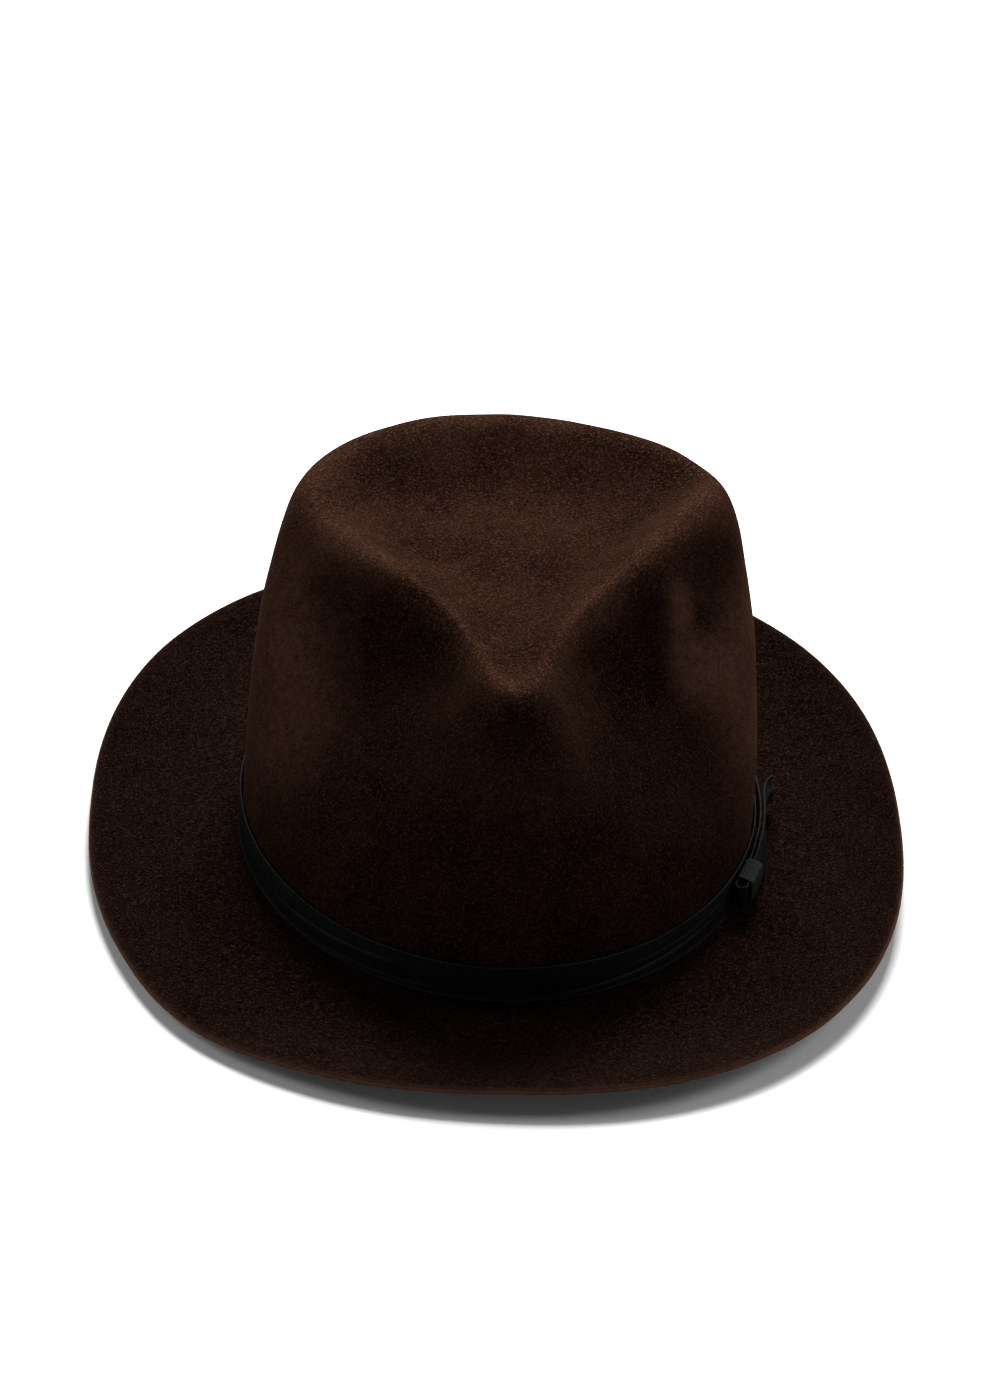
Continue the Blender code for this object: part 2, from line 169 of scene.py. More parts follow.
def oval(angle, half, front, back, square):
    side, ahead = np.sin(angle), np.cos(angle)
    reach = (abs(side) ** square + abs(ahead) ** square) ** (-1 / square)
    return np.array([half * side * reach, (front + back) / 2 - (back - front) / 2 * ahead * reach, 0])


def lengths(line):
    return np.concatenate([[0], np.cumsum(np.linalg.norm(np.diff(line, axis=0), axis=1))])


def along(line, run, places):
    """Points at the given distances along a line whose own points lie at `run`."""
    return np.stack([np.interp(places, run, values) for values in line.T], axis=1)


def soften(line, run, radius):
    """Rounds a line's corners with a moving average as wide as `radius` at each point."""
    away = (run[:, None] - run[None, :]) / radius[:, None]
    weight = np.where(abs(away) < 3, np.exp(-away ** 2 / 2), 0)
    averaged = weight @ line / weight.sum(axis=1, keepdims=True)
    to_end = np.minimum(run, run[-1] - run)
    share = np.clip(to_end / (3 * radius), 0, 1)[:, None]
    return averaged * share + line * (1 - share)


def section(angle):
    """Outer face of the felt at one angle, from the brim's edge to the middle of the top."""
    edge, base = oval(angle, *BRIM_OVAL), oval(angle, *BASE_OVAL)
    share = np.linspace(0, 1, 60)[:, None]
    brim = edge * (1 - share) + base * share
    lift = around(angle, BRIM_RISE) + BRIM_TILT * np.sin(angle)
    curl = np.clip((1 - share[:, 0] - BRIM_FLAT) / (1 - BRIM_FLAT), 0, 1)
    brim[:, 2] = FELT + lift * curl ** 1.5

    ridge = np.array([around(angle, RIDGE_HALF) * np.sin(angle), around(angle, RIDGE_Y),
                      around(angle, RIDGE_Z)])
    power = 2 / around(angle, FULLNESS)
    turn = np.linspace(0, np.pi / 2, 160)[1:, None]
    upward = np.sin(turn) ** power
    round_in = 1 - np.cos(turn) ** power
    hollow_in = 3 * upward ** 2.8 - 2 * upward ** 4.2
    inward = round_in + (hollow_in - round_in) * around(angle, PINCH)
    foot = base + [0, 0, FELT]
    wall = foot + (ridge - foot) * np.hstack([inward, inward, upward])

    share = np.linspace(0, 1, 140)[1:, None]
    well = ridge + (WELL - ridge) * share
    fall = 1 - (1 - share[:, 0]) ** 2
    moat = np.sin(np.pi * np.clip(share[:, 0] / 0.9, 0, 1)) ** 2
    well[:, 2] = ridge[2] + (WELL[2] - ridge[2]) * fall - around(angle, GROOVE) * moat

    line = np.concatenate([brim, wall, well])
    run = lengths(line)
    at_break, at_ridge = run[len(brim) - 1], run[len(brim) + len(wall) - 1]
    fine = np.linspace(0, run[-1], int(run[-1] / MM) + 1)
    line = along(line, run, fine)
    radius = MM + (BREAK_SOFT - MM) * np.exp(-((fine - at_break) / (12 * MM)) ** 2)
    radius += around(angle, RIDGE_SOFT) * np.exp(-((fine - at_ridge) / (25 * MM)) ** 2)
    return soften(line, fine, radius), fine, at_break, at_ridge


def column(angle):
    line, run, at_break, at_ridge = section(angle)
    brim = along(line, run, np.linspace(0, at_break, BRIM_STEPS, endpoint=False))
    wall = along(line, run, np.linspace(at_break, at_ridge, WALL_STEPS, endpoint=False))
    well = along(line, run, np.linspace(at_ridge, run[-1], WELL_STEPS))
    return np.concatenate([brim, wall, well])


def press(points, dents):
    """Moves points by the dents, which fade out smoothly from their middles."""
    moved = points.copy()
    for middle, radius, push in dents:
        away = np.linalg.norm(points - np.array(middle) * MM, axis=-1) / (radius * MM)
        moved += np.exp(-away ** 2 / 2)[..., None] * np.array(push) * MM
    return moved


def normals(grid):
    """Outward normals of the felt's grid; the middle of the top points straight up."""
    across = np.roll(grid, -1, axis=0) - np.roll(grid, 1, axis=0)
    upward = np.gradient(grid, axis=1)
    out = np.cross(across, upward)
    size = np.linalg.norm(out, axis=2, keepdims=True)
    out = out / np.maximum(size, 1e-12)
    out[:, -1] = (0, 0, 1)
    return out


def felt_grid():
    grid = np.array([column(angle) for angle in np.linspace(0, TURN, COLUMNS, endpoint=False)])
    grid[:, BRIM_STEPS:] = press(grid[:, BRIM_STEPS:], CROWN_DENTS + HAND_MARKS)
    flat = int(BRIM_STEPS * (1 - BRIM_FLAT))
    grid[:, :flat] = press(grid[:, :flat], BRIM_DENTS)
    grid[:, -1] = grid[:, -1].mean(axis=0)
    return grid - MIDDLE


GRID = felt_grid()
WALL = GRID[:, BRIM_STEPS:BRIM_STEPS + WALL_STEPS]


def outward(angle):
    step = oval(angle + 0.01, *BASE_OVAL) - oval(angle - 0.01, *BASE_OVAL)
    return np.array([step[1], -step[0], 0]) / np.linalg.norm(step)


def wall_point(angle, height, out):
    """Point at a height on the crown's outer face, moved level by `out`."""
    place = (angle / TURN) % 1 * COLUMNS
    first = int(place) % COLUMNS
    share = place - int(place)
    ends = []
    for wall in (WALL[first], WALL[(first + 1) % COLUMNS]):
        ends.append([np.interp(height, wall[:, 2], wall[:, axis]) for axis in range(2)])
    across = np.array(ends[0]) * (1 - share) + np.array(ends[1]) * share
    return np.array([*across, height]) + outward(angle) * out


def inner_point(angle, height, inset):
    level = wall_point(angle, max(height, FOOT_LEVEL), -inset)
    return np.array([level[0], level[1], height])


# ================================================================ mesh helpers
def make_object(name, points, faces):
    mesh = bpy.data.meshes.new(name)
    mesh.from_pydata([tuple(point) for point in points], [], faces)
    mesh.validate()
    mesh.shade_smooth()
    piece = bpy.data.objects.new(name, mesh)
    bpy.context.scene.collection.objects.link(piece)
    return piece


def grid_faces(columns, rows, closed):
    """Quads over points numbered column by column."""
    faces = []
    for i in range(columns if closed else columns - 1):
        here, following = i * rows, (i + 1) % columns * rows
        for j in range(rows - 1):
            faces.append((here + j, following + j, following + j + 1, here + j + 1))
    return faces


def store(piece, name, values):
    """Keeps one number or one place for each vertex, for the materials to read."""
    values = np.asarray(values, dtype=np.float32)
    kind, field = ("FLOAT_VECTOR", "vector") if values.ndim == 2 else ("FLOAT", "value")
    layer = piece.data.attributes.new(name, kind, "POINT")
    layer.data.foreach_set(field, values.ravel())


def finish_piece(piece, material, slot, *nodes):
    piece.data.materials.append(material)
    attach(piece, "root")
    if nodes:
        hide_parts(*nodes)
    return piece


def thicken(piece, thick, out=True):
    shell = piece.modifiers.new("Thickness", "SOLIDIFY")
    shell.thickness = thick
    shell.offset = 1 if out else -1


def ribbon_grid(name, grid, thick, closed=False, out=True):
    """Ribbon from a grid of points, thickened, that knows its own length and width."""
    grid = np.asarray(grid)
    columns, rows = grid.shape[:2]
    middle = grid[:, rows // 2]
    run = lengths(middle)
    piece = make_object(name, grid.reshape(-1, 3), grid_faces(columns, rows, closed))
    width = lengths(grid[0])
    place = np.zeros((columns, rows, 3))
    place[..., 0] = run[:, None]
    place[..., 1] = width[None, :]
    store(piece, "cloth_place", place.reshape(-1, 3))
    # Mask for the painted highlight along both edges of the ribbon.
    from_edge = np.minimum(width, width[-1] - width)
    edge_highlight = np.tile(np.exp(-(from_edge / SELVEDGE) ** 2), columns)
    store(piece, "edge_highlight", edge_highlight)
    thicken(piece, thick, out)
    return piece


# ================================================================ materials
class Nodes:
    """Small helper that adds shader nodes and links them."""

    def __init__(self, name):
        self.material = bpy.data.materials.new(name)
        self.material.use_nodes = True
        self.tree = self.material.node_tree
        self.surface = self.tree.nodes["Principled BSDF"]

    def add(self, kind, **settings):
        node = self.tree.nodes.new(kind)
        for key, value in settings.items():
            if key in node.inputs:
                node.inputs[key].default_value = value
            else:
                setattr(node, key, value)
        return node

    def link(self, source, target):
        self.tree.links.new(source, target)

    def noise(self, place, scale, detail=3.0, rough=0.5):
        node = self.add("ShaderNodeTexNoise")
        node.inputs["Scale"].default_value = scale
        node.inputs["Detail"].default_value = detail
        node.inputs["Roughness"].default_value = rough
        self.link(place, node.inputs["Vector"])
        return node.outputs["Fac"]

    def bands(self, place, direction, pitch):
        """Stripes about `pitch` apart: the texture makes 20 / TURN of them per unit of its scale."""
        node = self.add("ShaderNodeTexWave", wave_type="BANDS", bands_direction=direction)
        node.inputs["Scale"].default_value = TURN / 20 / pitch
        self.link(place, node.inputs["Vector"])
        return node.outputs["Fac"]

    def remap(self, value, low, high, to_low=0.0, to_high=1.0):
        node = self.add("ShaderNodeMapRange")
        for key, number in (("From Min", low), ("From Max", high), ("To Min", to_low),
                            ("To Max", to_high)):
            node.inputs[key].default_value = number
        self.link(value, node.inputs["Value"])
        return node.outputs["Result"]

    def mix(self, share, first, second, blend="MIX"):
        node = self.add("ShaderNodeMix", data_type="RGBA", blend_type=blend)
        for socket, value in ((node.inputs[0], share), (node.inputs[6], first),
                              (node.inputs[7], second)):
            if isinstance(value, bpy.types.NodeSocket):
                self.link(value, socket)
            elif isinstance(value, float):
                socket.default_value = value
            else:
                socket.default_value = (*value, 1)
        return node.outputs[2]

    def maths(self, operation, first, second):
        node = self.add("ShaderNodeMath", operation=operation)
        for socket, value in zip(node.inputs, (first, second)):
            if isinstance(value, bpy.types.NodeSocket):
                self.link(value, socket)
            else:
                socket.default_value = value
        return node.outputs[0]

    def bump(self, height, distance, strength=1.0, under=None):
        node = self.add("ShaderNodeBump")
        node.inputs["Strength"].default_value = strength
        node.inputs["Distance"].default_value = distance
        self.link(height, node.inputs["Height"])
        if under is not None:
            self.link(under, node.inputs["Normal"])
        return node.outputs["Normal"]

    def place(self):
        return self.add("ShaderNodeTexCoord").outputs["Object"]

    def attribute(self, name, vector=False):
        node = self.add("ShaderNodeAttribute", attribute_name=name)
        return node.outputs["Vector" if vector else "Fac"]

    def set(self, **values):
        for key, value in values.items():
            self.surface.inputs[key.replace("_", " ")].default_value = value


def felt_material():
    """Brushed fur felt: dark brown nap, mottled where it lies differently, lighter on the crown's top
    with a painted highlight along the ridge crests, and patches of painted highlight and painted
    shade.
    """
    make = Nodes("fur_felt")
    place = make.place()
    nap = make.noise(place, 1250.0, 3.0, 0.8)
    tuft = make.noise(place, 330.0, 4.0, 0.65)
    cloud = make.noise(place, 46.0, 3.0, 0.6)
    crown, crest_highlight_and_top_tone = make.attribute("crown"), make.attribute("crest_highlight_and_top_tone")
    brim = make.mix(make.remap(cloud, 0.35, 0.68), (0.0026, 0.0009, 0.0006), (0.0044, 0.0018, 0.0014))
    wall = make.mix(make.remap(cloud, 0.38, 0.62), (0.0034, 0.0008, 0.0004), (0.0085, 0.0030, 0.0016))
    colour = make.mix(crown, brim, wall)
    fluff = make.mix(crown, (0.0100, 0.0050, 0.0040), (0.0165, 0.0065, 0.0038))
    colour = make.mix(make.remap(tuft, 0.40, 0.75, 0.0, 0.45), colour, fluff)
    # Lighter, warmer crown top; where the crest mask peaks along the ridges this is a painted
    # highlight.
    top = make.mix(make.remap(cloud, 0.36, 0.62), (0.0125, 0.0047, 0.0030), (0.0270, 0.0110, 0.0067))
    top = make.mix(make.remap(tuft, 0.40, 0.72, 0.0, 0.30), top, (0.0330, 0.0140, 0.0078))
    colour = make.mix(crest_highlight_and_top_tone, colour, top)
    # Painted highlights on lit ridges and sides, and painted shade in hollows and on faces turned from
    # the light.
    painted_light = make.maths("MULTIPLY", make.attribute("painted_light"), make.remap(tuft, 0.3, 0.65, 0.45, 1.0))
    painted_shade = make.maths("MULTIPLY", make.attribute("painted_shade"), make.remap(tuft, 0.3, 0.65, 1.0, 0.7))
    colour = make.mix(painted_light, colour, (0.0560, 0.0255, 0.0165))
    colour = make.mix(painted_shade, colour, (0.0026, 0.0008, 0.0004))
    # Pale nap fibres, paler still under the painted crest highlight.
    nap_light = make.mix(crest_highlight_and_top_tone, (0.0340, 0.0195, 0.0155), (0.0980, 0.0510, 0.0330))
    colour = make.mix(make.remap(nap, 0.52, 0.72, 0.0, 0.9), colour, nap_light)
    colour = make.mix(make.remap(nap, 0.50, 0.28, 0.0, 0.9), colour, (0.0008, 0.0002, 0.0001))
    edge = make.maths("MULTIPLY", make.attribute("cut_edge"), make.remap(tuft, 0.3, 0.6, 0.6, 1.0))
    colour = make.mix(edge, colour, (0.0640, 0.0310, 0.0190))
    make.link(colour, make.surface.inputs["Base Color"])
    make.link(make.remap(tuft, 0.3, 0.7, 0.9, 1.0), make.surface.inputs["Roughness"])
    make.set(Sheen_Weight=0.035, Sheen_Roughness=0.4, Sheen_Tint=(0.75, 0.42, 0.25, 1),
             Specular_IOR_Level=0.0)
    rough = make.bump(tuft, 0.14 * MM, 0.5)
    fine = make.bump(nap, 0.07 * MM, 1.0, rough)
    make.link(fine, make.surface.inputs["Normal"])
    return make.material


def ribbon_material():
    """Black grosgrain: upright ribs every 0.7 mm, with a woven edge that carries a painted highlight.
    """
    make = Nodes("grosgrain")
    place = make.attribute("cloth_place", vector=True)
    ribs = make.bands(place, "X", 0.7 * MM)
    yarn = make.noise(place, 1800.0, 2.0)
    slub = make.noise(place, 60.0, 2.0)
    shade = make.mix(make.remap(ribs, 0.0, 1.0), (0.0008, 0.0010, 0.0011),
                     (0.0046, 0.0054, 0.0058))
    shade = make.mix(make.remap(slub, 0.4, 0.7, 0.0, 0.35), shade, (0.0060, 0.0070, 0.0072))
    # Painted highlight along each edge, where light catches the raised woven rim.
    edge = make.maths("MULTIPLY", make.attribute("edge_highlight"), 0.75)
    shade = make.mix(edge, shade, (0.0150, 0.0170, 0.0170))
    make.link(shade, make.surface.inputs["Base Color"])
    make.link(make.remap(yarn, 0.3, 0.7, 0.42, 0.62), make.surface.inputs["Roughness"])
    make.set(Sheen_Weight=0.01, Sheen_Roughness=0.4, Sheen_Tint=(0.7, 0.78, 0.8, 1),
             Specular_IOR_Level=0.06)
    low = make.bump(ribs, 0.20 * MM, 1.0)
    make.link(make.bump(yarn, 0.04 * MM, 0.5, low), make.surface.inputs["Normal"])
    return make.material


def thread_material(name, colour):
    """Twisted thread, darker between its strands."""
    make = Nodes(name)
    twist = make.bands(make.place(), "DIAGONAL", 0.5 * MM)
    darker = tuple(value * 0.45 for value in colour)
    make.link(make.mix(twist, darker, colour), make.surface.inputs["Base Color"])
    make.set(Roughness=0.8, Specular_IOR_Level=0.15)
    make.link(make.bump(twist, 0.05 * MM, 0.7), make.surface.inputs["Normal"])
    return make.material


def leather_material():
    """Smooth tanned sweatband leather with fine pores and a little colour change."""
    make = Nodes("sweatband_leather")
    place = make.place()
    pores = make.add("ShaderNodeTexVoronoi", feature="SMOOTH_F1")
    pores.inputs["Scale"].default_value = 900.0
    make.link(place, pores.inputs["Vector"])
    cloud = make.noise(place, 55.0, 4.0)
    fine = make.noise(place, 700.0, 3.0)
    colour = make.mix(make.remap(cloud, 0.3, 0.7), (0.085, 0.034, 0.014), (0.155, 0.068, 0.030))
    colour = make.mix(make.remap(fine, 0.5, 0.8, 0.0, 0.4), colour, (0.21, 0.105, 0.050))
    make.link(colour, make.surface.inputs["Base Color"])
    make.link(make.remap(fine, 0.3, 0.7, 0.38, 0.55), make.surface.inputs["Roughness"])
    grain = make.bump(pores.outputs["Distance"], 0.08 * MM, 0.5)
    make.link(make.bump(fine, 0.04 * MM, 0.4, grain), make.surface.inputs["Normal"])
    return make.material


def satin_material():
    """Bronze-brown lining satin with long floats along the weave."""
    make = Nodes("lining_satin")
    place = make.attribute("cloth_place", vector=True)
    stretch = make.add("ShaderNodeMapping")
    stretch.inputs["Scale"].default_value = (5200.0, 700.0, 1.0)
    make.link(place, stretch.inputs["Vector"])
    floats = make.noise(stretch.outputs["Vector"], 1.0, 2.0)
    cloud = make.noise(place, 40.0, 2.0)
    colour = make.mix(make.remap(floats, 0.3, 0.7), (0.070, 0.034, 0.019), (0.125, 0.066, 0.038))
    colour = make.mix(make.remap(cloud, 0.4, 0.7, 0.0, 0.3), colour, (0.150, 0.083, 0.048))
    make.link(colour, make.surface.inputs["Base Color"])
    make.set(Roughness=0.32, Anisotropic=0.5, Sheen_Weight=0.15)
    make.link(make.bump(floats, 0.03 * MM, 0.6), make.surface.inputs["Normal"])
    return make.material


def cord_material(name, colour):
    """Smooth cotton-covered cord."""
    make = Nodes(name)
    fluff = make.noise(make.place(), 1500.0, 3.0)
    dark = tuple(value * 0.7 for value in colour)
    make.link(make.mix(make.remap(fluff, 0.35, 0.65), dark, colour), make.surface.inputs["Base Color"])
    make.set(Roughness=0.7)
    make.link(make.bump(fluff, 0.05 * MM, 0.6), make.surface.inputs["Normal"])
    return make.material


def tape_material(name, colour):
    """Plain woven cotton tape: threads 0.5 mm apart both ways."""
    make = Nodes(name)
    place = make.attribute("cloth_place", vector=True)
    across, along_tape = (make.bands(place, direction, 0.5 * MM) for direction in "XY")
    weave = make.maths("MULTIPLY", across, along_tape)
    fluff = make.noise(place, 1500.0, 3.0)
    dark = tuple(value * 0.6 for value in colour)
    shade = make.mix(make.remap(weave, 0.0, 0.6), dark, colour)
    shade = make.mix(make.remap(fluff, 0.45, 0.75, 0.0, 0.5), shade, tuple(v * 0.85 for v in colour))
    make.link(shade, make.surface.inputs["Base Color"])
    make.set(Roughness=0.9, Sheen_Weight=0.1)
    make.link(make.bump(weave, 0.08 * MM, 0.8), make.surface.inputs["Normal"])
    return make.material


# ================================================================ felt
def soft_unevenness(grid, out):
    """Slight waves that hands and steam leave in felt, none where the brim rests."""
    columns, rows = grid.shape[:2]
    amount = np.zeros((columns, rows))
    for i in range(columns):
        for j in range(rows):
            point = Vector(grid[i, j])
            amount[i, j] = noise.noise(point * 28.0) + 0.5 * noise.noise(point * 61.0)
    row = np.arange(rows)
    crown = np.clip((row - BRIM_STEPS - 12) / 14, 0, 1)
    brim = np.clip((BRIM_STEPS * (1 - BRIM_FLAT) - 4 - row) / 12, 0, 1)
    return grid + out * (amount * (0.55 * crown + 0.45 * brim)[None, :] * MM)[..., None]


def cut_edge(outer, out):
    """Rows of points round the brim's raw edge, from the underside to the upper side."""
    ahead = outer[:, 0] - outer[:, 1]
    ahead /= np.linalg.norm(ahead, axis=1, keepdims=True)
    middle = outer[:, 0] - out[:, 0] * FELT / 2
    edge = []
    for turn in np.radians((-60, -30, 0, 30, 60)):
        swell = ahead * np.cos(turn) * RIM_ROUND
        edge.append(middle + swell + out[:, 0] * np.sin(turn) * FELT / 2 * 1.02)
    return np.stack(edge, axis=1)


def paint_felt(piece, points, inner_rows, edge_rows, rows):
    """Stores where the felt is crown, crest with its painted highlight, cut edge, painted highlight or
    painted shade; two poles come last.
    """
    columns = (len(points) - 2) // rows
    row = np.arange(rows)
    outside = row - inner_rows - edge_rows
    from_ridge = outside - BRIM_STEPS - WALL_STEPS
    # Lighter crown top, with a painted highlight along the ridge crests where light catches them.
    crest = np.where(from_ridge > 0, 0.5 + 0.5 * np.exp(-(from_ridge / 3.5) ** 2),
                     np.exp(-(from_ridge / 4.5) ** 2))
    crown = np.clip((outside - BRIM_STEPS) / 4, 0, 1)
    cut = np.exp(-((row - inner_rows - edge_rows // 2) / 2.2) ** 2)
    for name, values, poles in (("crown", crown, [0, 1]), ("crest_highlight_and_top_tone", crest, [0, 0.45]),
                                ("cut_edge", cut, [0, 0])):
        store(piece, name, np.concatenate([np.tile(values, columns), poles]))
    # Painted light: positive sums are painted highlights, negative ones painted shade.
    painted_light = np.zeros(len(points))
    for middle, radius, amount in LIGHT_AND_SHADE_PATCHES:
        away = np.linalg.norm(points - np.array(middle) * MM, axis=1) / (radius * MM)
        painted_light += amount * np.exp(-away ** 2 / 2)
    store(piece, "painted_light", np.clip(painted_light, 0, 1))
    store(piece, "painted_shade", np.clip(-painted_light, 0, 1))


def felt():
    """A section runs from the middle of the inside, out under the brim, round its edge and up."""
    outer = soft_unevenness(GRID, normals(GRID))
    outer[:, -1] = outer[:, -1].mean(axis=0)
    out = normals(outer)
    inner = outer - out * FELT
    inner[:, :, 2] = np.maximum(inner[:, :, 2], 0)
    edge = cut_edge(outer, out)
    grid = np.concatenate([inner[:, ::-1][:, 1:], edge, outer[:, :-1]], axis=1)
    columns, rows = grid.shape[:2]
    points = np.concatenate([grid.reshape(-1, 3), [inner[0, -1], outer[0, -1]]])
    faces = grid_faces(columns, rows, True)
    low, high = columns * rows, columns * rows + 1
    for i in range(columns):
        here, following = i * rows, (i + 1) % columns * rows
        faces.append((low, following, here))
        faces.append((here + rows - 1, following + rows - 1, high))
    piece = make_object("felt", points, faces)
    paint_felt(piece, points, inner.shape[1] - 1, edge.shape[1], rows)
    return finish_piece(piece, felt_material(), "felt", "felt_body")


# ================================================================ band and bow
# Long folds: start and end angle in degrees, height at each in mm, depth in mm.
CREASES = (
    (4, 62, 5.6, 10.6, 0.55),
    (22, 64, 10.6, 13.4, 0.35),
    (-64, -18, 9.0, 13.0, 0.45),
    (-46, -4, 5.8, 7.4, 0.30),
)


def crease(angle, height):
    """How far the band's face is pulled in by the long folds in it."""
    degrees = (np.degrees(angle) + 180) % 360 - 180
    total = 0.0
    for start, end, low, high, depth in CREASES:
        share = (degrees - start) / (end - start)
        if 0 < share < 1:
            line = (low + (high - low) * share) * MM
            fade = np.sin(np.pi * share) ** 0.7
            away = (height - line) / MM
            fold = np.exp(-(away / 0.45) ** 2) - 0.6 * np.exp(-((away + 1.1) / 0.8) ** 2)
            total += depth * fade * fold
    return total * MM


def ribbon_profile(share):
    """Extra thickness of a ribbon's face: a woven rim at each edge."""
    return 0.16 * MM * (np.exp(-(share / 0.045) ** 2) + np.exp(-((1 - share) / 0.045) ** 2))


def hatband(material):
    """Ribbon round the foot of the crown, slightly wavy, with a slit at its join."""
    angles = np.linspace(BAND_JOIN + SLIT / 2, BAND_JOIN + TURN - SLIT / 2, 900)
    shares = np.concatenate([[0, 0.02, 0.045], np.linspace(0.08, 0.92, 29), [0.955, 0.98, 1]])
    columns = []
    for angle in angles:
        wave = 0.12 * MM * np.sin(3 * angle + 0.6) + 0.07 * MM * np.sin(11 * angle)
        spots = []
        for share in shares:
            height = BAND_Z[0] + (BAND_Z[1] - BAND_Z[0]) * share + wave * share
            out = GAP + BAND_OFF + ribbon_profile(share) - crease(angle, height)
            spots.append(wall_point(angle, height, out))
        columns.append(spots)
    piece = ribbon_grid("hatband_ribbon", columns, BAND_THICK)
    return finish_piece(piece, material, "ribbon", "hatband")


BAND_FACE = GAP + RIBBON
KNOT_BACK = BAND_FACE + GAP
TAIL_INNER = KNOT_BACK + RIBBON + GAP
TAIL_OUTER = TAIL_INNER + RIBBON + GAP
KNOT_FRONT = TAIL_OUTER + RIBBON + GAP


def bow_point(angle, height, out):
    level = wall_point(angle, BOW_LEVEL, out)
    return np.array([level[0], level[1], height])


def gathered(angle, height):
    """Height of a spot on the bow's ribbon once the knot has drawn its edges together."""
    share = (height - BOW_Z[0]) / (BOW_Z[1] - BOW_Z[0])
    drawn = KNOT_Z[0] + (KNOT_Z[1] - KNOT_Z[0]) * share
    past = max(angle - KNOT_ANGLE - np.radians(4), 0) / np.radians(5)
    return height + (drawn - height) * np.exp(-past ** 2)


def bow_ribbon(material):
    """One ribbon: from the outer tail forward through the knot, round the front loop and back."""
    shares = np.linspace(0, 1, 17)
    heights = BOW_Z[0] + (BOW_Z[1] - BOW_Z[0]) * shares
    middle, half = np.mean(BOW_Z), (BOW_Z[1] - BOW_Z[0]) / 2

    def lean(number, share):
        """The outer ribbon's lower edge stands off the crown, most near the front loop."""
        return BOW_LEAN * (1 - shares[number]) * (1 - share) ** 0.8

    def tail(out, splay, leaning):
        columns = []
        for share in np.linspace(1, 0, 80):
            lift = 1.2 * MM * share + splay * share ** 12
            spots = []
            for number, height in enumerate(heights):
                off = (height - middle) / half
                fray = 0.3 * np.sin(number * 5.1 + out * 9000) * NOTCH * share ** 20
                end = TAIL_END + NOTCH * abs(off) - NOTCH + fray
                angle = KNOT_ANGLE + (end - KNOT_ANGLE) * share
                off_crown = out + lift + leaning * lean(number, share)
                off_crown += ribbon_profile(shares[number])
                spots.append(bow_point(angle, gathered(angle, height), off_crown))
            columns.append(spots)
        return columns

    def leg(out, swell, leaning):
        columns = []
        for share in np.linspace(0, 1, 40)[1:]:
            angle = KNOT_ANGLE + (LOOP_FRONT - KNOT_ANGLE) * share
            spots = []
            for number, height in enumerate(heights):
                off = leaning * lean(number, 0) * (1 - share) + swell * share
                spots.append(bow_point(angle, gathered(angle, height), out + off))
            columns.append(spots)
        return columns

    def turn():
        columns = []
        wide = (TAIL_OUTER + FOLD_SWELL - TAIL_INNER) / 2
        for step in np.linspace(0, 1, 22)[1:-1]:
            ahead = np.sin(np.pi * step) * wide / BOW_REACH
            out = TAIL_INNER + wide * (1 + np.cos(np.pi * step))
            columns.append([bow_point(LOOP_FRONT - ahead, gathered(LOOP_FRONT, height), out)
                            for height in heights])
        return columns

    path = tail(TAIL_OUTER, TAIL_SPLAY, 1) + leg(TAIL_OUTER, FOLD_SWELL, 1) + turn()
    path += leg(TAIL_INNER, 0, 0)[::-1] + tail(TAIL_INNER, 0, 0)[::-1]
    piece = ribbon_grid("bow", path, BOW_THICK, out=False)
    return finish_piece(piece, material, "ribbon", "bow_ribbon")


def bow_knot(material):
    """Ribbon wrapped once round the middle of the bow, slightly gathered."""
    low, high = KNOT_Z[0] - GAP * 2, KNOT_Z[1] + GAP * 2
    half = KNOT_WIDTH / 2 / BOW_REACH
    corners = [(KNOT_BACK, low), (KNOT_BACK, (low + high) / 2), (KNOT_BACK, high),
               (TAIL_OUTER, high + 0.5 * MM), (KNOT_FRONT + KNOT_SWELL * 0.9, high - 0.6 * MM),
               (KNOT_FRONT + KNOT_SWELL, (low + high) / 2), (KNOT_FRONT + KNOT_SWELL * 0.9, low),
               (TAIL_OUTER, low - 0.4 * MM)]
    loop = np.array(corners + corners[:1])
    run = lengths(loop)
    profile = along(loop, run, np.linspace(0, run[-1], 64, endpoint=False))
    for _ in range(6):
        profile = (np.roll(profile, 1, axis=0) + 2 * profile + np.roll(profile, -1, axis=0)) / 4
    columns = []
    for out, height in profile:
        spots = []
        for share in np.linspace(-1, 1, 17):
            gather = 0.14 * MM * np.cos(share * 9.5)
            spots.append(bow_point(KNOT_ANGLE + half * share, height, out + gather))
        columns.append(spots)
    piece = ribbon_grid("knot", columns, KNOT_THICK, closed=True, out=False)
    return finish_piece(piece, material, "ribbon", "bow_knot")


# ================================================================ inside
def sweatband(material):
    """Leather band inside the crown, wavy along its free edge and grooved where it is sewn."""
    angles = np.linspace(np.pi + SLIT / 2, 3 * np.pi - SLIT / 2, 500)
    heights = np.concatenate([np.linspace(SWEATBAND_Z[0], 8 * MM, 10),
                              np.linspace(8 * MM, SWEATBAND_Z[1], 26)[1:]])
    columns = []
    for angle in angles:
        spots = []
        for height in heights:
            wave = 0.25 * MM * np.sin(7 * angle + height * 60) * (height / SWEATBAND_Z[1]) ** 2
            groove = 0.15 * MM * np.exp(-((height - STITCH_Z) / (0.6 * MM)) ** 2)
            spots.append(inner_point(angle, height, SWEATBAND_IN + 0.15 * MM + wave - groove))
        columns.append(spots)
    piece = ribbon_grid("sweatband_leather", columns, SWEATBAND, out=False)
    edge = piece.modifiers.new("Edges", "BEVEL")
    edge.width = 0.3 * MM
    edge.segments = 2
    edge.limit_method = "ANGLE"
    return finish_piece(piece, material, "sweatband_leather", "sweatband")


